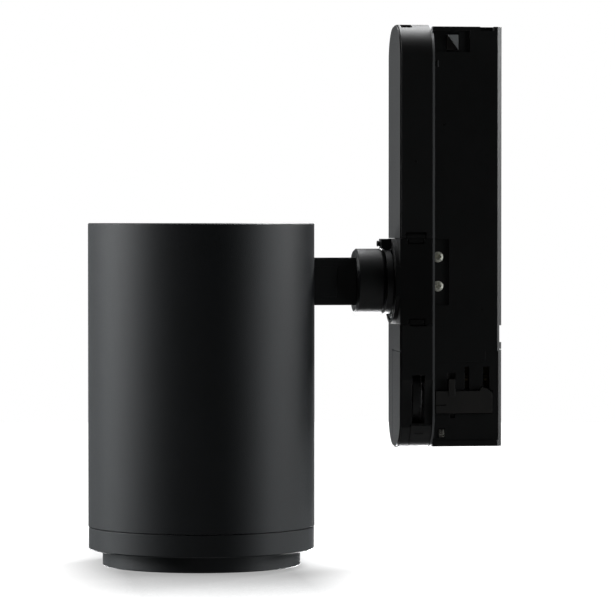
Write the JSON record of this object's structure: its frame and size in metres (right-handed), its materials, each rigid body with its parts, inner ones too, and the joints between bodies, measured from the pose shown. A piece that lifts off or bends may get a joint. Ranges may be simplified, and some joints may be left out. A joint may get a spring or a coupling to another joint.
{
  "type": "track spotlight",
  "caption": "Museum track spotlight: a black cylindrical zoom head on a tilting arm and panning knuckle, carried by a long in-track driver adapter with phase dial and release tab.",
  "frame": {"origin": "where the pan axis crosses the seat of the track adapter, the plane of the cover's shoulder that lies against the track's mouth", "axes": "+X along the pan axis into the track; +Z along the track towards the adapter's latch end, which is up as pictured, with the head pointing down along -Z; +Y to the rear"},
  "size_m": [0.1644, 0.09, 0.2147],
  "materials": {
    "housing_black": "matt fine-texture powder coat",
    "arm_black": "satin powder coat",
    "adapter_plastic": "fine spark-eroded moulding",
    "swivel_plastic": "smooth moulding",
    "selector_plastic": "satin moulding",
    "lock_plastic": "glass-filled moulding",
    "brass_screw": "yellow-passivated",
    "contact_brass": "plain",
    "contact_nickel": "nickel-plated",
    "steel": "zinc-plated",
    "black_steel": "black oxide",
    "aluminium": "machined",
    "reflector_metal": "bright anodised",
    "circuit_board": "solder mask",
    "component": "moulded",
    "white_plastic": "moulded",
    "phosphor": "silicone with phosphor",
    "wire_sleeve": "insulation",
    "rubber": "moulded",
    "clear_glass": "polished",
    "bronze": "sintered bronze"
  },
  "bodies": {
    "adapter": {"adapter_base": "adapter_plastic", "insert_lid": "adapter_plastic", "upper_cover": "adapter_plastic", "lower_cover": "adapter_plastic", "swivel_base": "swivel_plastic", "swivel_screws": "brass_screw", "knuckle_collar": "arm_black", "pan_lock_lug": "swivel_plastic", "track_contacts": "contact_brass", "earth_contacts": "contact_nickel", "driver_board": "circuit_board", "driver_parts": "component", "terminal_block": "white_plastic", "mains_leads": "wire_sleeve", "latch_spring": "steel", "release_spring": "steel"},
    "phase_selector": {"phase_dial": "selector_plastic", "contact_drum": "white_plastic"},
    "release": {"release_tab": "selector_plastic", "cam_plate": "steel"},
    "wing_front": {"lock_wing_front": "lock_plastic"},
    "wing_rear": {"lock_wing_rear": "lock_plastic"},
    "latch_front": {"latch_tooth_front": "lock_plastic"},
    "latch_rear": {"latch_tooth_rear": "lock_plastic"},
    "pan_lock": {"pan_lock_screw": "black_steel"},
    "arm": {"knuckle": "arm_black", "swivel_stud": "steel", "swivel_nut": "steel", "swivel_washers": "steel", "stop_pin": "steel", "arm": "arm_black", "arm_cover": "arm_black", "arm_leads": "wire_sleeve", "tilt_bushes": "bronze"},
    "head": {"housing": "housing_black", "rear_cap": "housing_black", "m3_screws": "black_steel", "tilt_bracket": "steel", "bracket_screws": "black_steel", "tilt_pin": "steel", "tilt_nut": "steel", "tilt_washers": "white_plastic", "heat_sink": "aluminium", "led_board": "white_plastic", "led_emitter": "phosphor", "led_holder": "white_plastic", "head_leads": "wire_sleeve", "reflector": "reflector_metal", "guide_rods": "steel", "glide_ring": "white_plastic"},
    "zoom": {"zoom_ring": "housing_black", "zoom_sleeve": "aluminium", "front_barrel": "housing_black", "front_glass": "clear_glass", "glass_gasket": "rubber", "glass_clip": "black_steel"},
    "carrier": {"lens_carrier": "selector_plastic", "lens": "clear_glass", "cam_pins": "steel"}
  },
  "joints": [
    {"name": "pan", "type": "hinge", "parent": "adapter", "child": "arm", "pos_m": [-0.02, 0, 0], "axis": [1, 0, 0], "range_deg": [-165, 165]},
    {"name": "tilt", "type": "hinge", "parent": "arm", "child": "head", "pos_m": [-0.0584, 0, 0], "axis": [0, 1, 0], "range_deg": [0, 90]},
    {"name": "zoom_turn", "type": "hinge", "parent": "head", "child": "zoom", "pos_m": [-0.0914, 0, -0.1], "axis": [0, 0, 1], "range_deg": [0, 90]},
    {"name": "lens_slide", "type": "slide", "parent": "head", "child": "carrier", "axis": [0, 0, 1], "range_m": [0, 0.018]},
    {"name": "phase_turn", "type": "hinge", "parent": "adapter", "child": "phase_selector", "pos_m": [-0.007, 0, -0.0455], "axis": [1, 0, 0], "range_deg": [0, 180]},
    {"name": "release_pull", "type": "slide", "parent": "adapter", "child": "release", "axis": [0, 0, -1], "range_m": [0, 0.002], "stiffness_N_per_m": 400, "springref_m": -0.004, "deforming": ["release_spring"]},
    {"name": "wing_front_slide", "type": "slide", "parent": "adapter", "child": "wing_front", "axis": [0, 1, 0], "range_m": [0, 0.0016]},
    {"name": "wing_rear_slide", "type": "slide", "parent": "adapter", "child": "wing_rear", "axis": [0, -1, 0], "range_m": [0, 0.0016]},
    {"name": "latch_front_press", "type": "slide", "parent": "adapter", "child": "latch_front", "axis": [0, 1, 0], "range_m": [0, 0.0015], "stiffness_N_per_m": 400, "springref_m": -0.003, "deforming": ["latch_spring"]},
    {"name": "latch_rear_press", "type": "slide", "parent": "adapter", "child": "latch_rear", "axis": [0, -1, 0], "range_m": [0, 0.0015]},
    {"name": "pan_lock_turn", "type": "hinge", "parent": "adapter", "child": "pan_lock", "pos_m": [-0.0196, 0, 0.015], "axis": [1, 0, 0], "range_deg": [0, 90]}
  ],
  "couplings": [
    {"joint": "lens_slide", "follows": "zoom_turn", "m_per_rad": 0.011459},
    {"joint": "wing_front_slide", "follows": "release_pull", "ratio": 0.8},
    {"joint": "wing_rear_slide", "follows": "release_pull", "ratio": 0.8},
    {"joint": "latch_rear_press", "follows": "latch_front_press", "ratio": 1}
  ]
}
